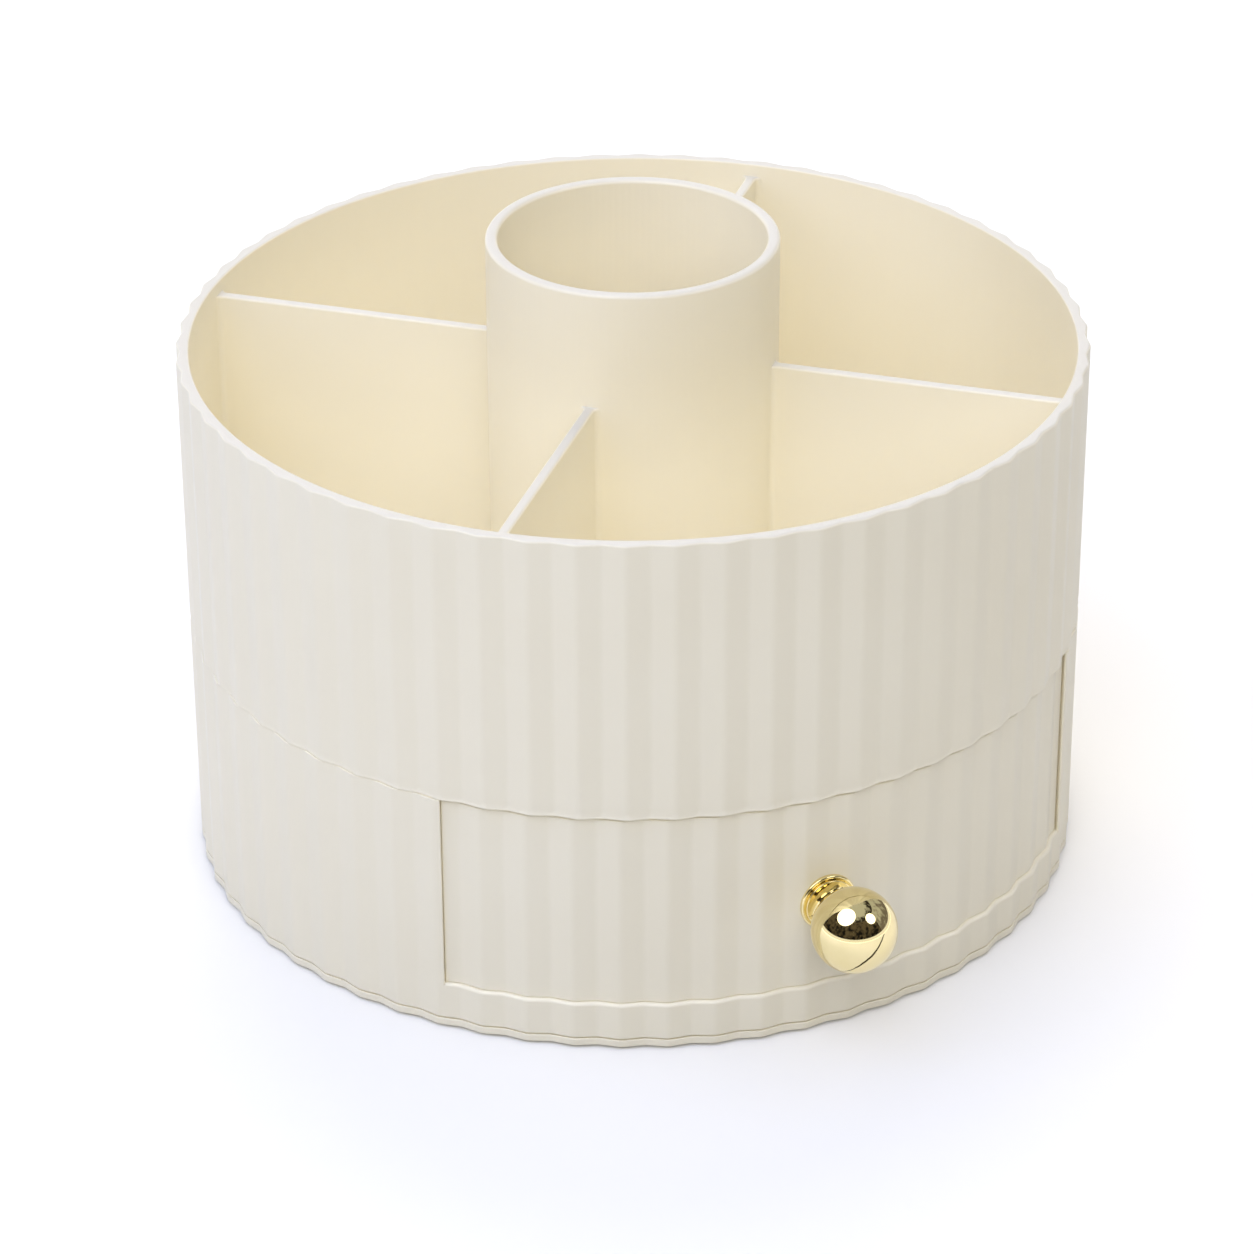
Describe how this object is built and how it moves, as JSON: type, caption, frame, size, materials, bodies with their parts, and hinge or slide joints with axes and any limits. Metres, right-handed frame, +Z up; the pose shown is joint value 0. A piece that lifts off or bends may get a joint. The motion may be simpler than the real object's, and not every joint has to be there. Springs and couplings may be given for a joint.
{
  "type": "makeup drawer box",
  "caption": "Round fluted makeup organiser that spins on its foot, with a sectored open tray and centre tube above a curved drawer with a ball knob.",
  "frame": {"origin": "on the spin axis, at the level of the table, under the middle foot pad", "axes": "+Z up along the spin axis; -Y the way the drawer slides out, through the knob; +X to the right for someone who faces the drawer"},
  "size_m": [0.1698, 0.1873, 0.1231],
  "materials": {
    "cream_plastic": "semi-gloss moulded ivory plastic",
    "gold_metal": "polished gold plating",
    "steel": "zinc plated",
    "ball_steel": "ground and polished",
    "cage_plastic": "natural, as moulded",
    "pad_rubber": "soft matte pads"
  },
  "bodies": {
    "foot": {"turntable_foot": "cream_plastic", "foot_pads": "pad_rubber"},
    "bearing": {"ball_cage": "cage_plastic", "bearing_balls": "ball_steel"},
    "box": {"lower_housing": "cream_plastic", "upper_tray": "cream_plastic", "tray_screws": "steel", "pivot_washer": "steel", "pivot_screw": "steel"},
    "drawer": {"drawer": "cream_plastic", "knob": "gold_metal", "knob_washer": "steel", "knob_screw": "steel"}
  },
  "joints": [
    {"name": "turntable_spin", "type": "hinge", "parent": "foot", "child": "box", "pos_m": [0, 0, 0], "axis": [0, 0, 1], "continuous": true},
    {"name": "cage_roll", "type": "hinge", "parent": "foot", "child": "bearing", "pos_m": [0, 0, 0], "axis": [0, 0, 1], "continuous": true},
    {"name": "drawer_slide", "type": "slide", "parent": "box", "child": "drawer", "axis": [0, -1, 0], "range_m": [0, 0.09]}
  ],
  "couplings": [
    {"joint": "cage_roll", "follows": "turntable_spin", "ratio": 0.5}
  ]
}
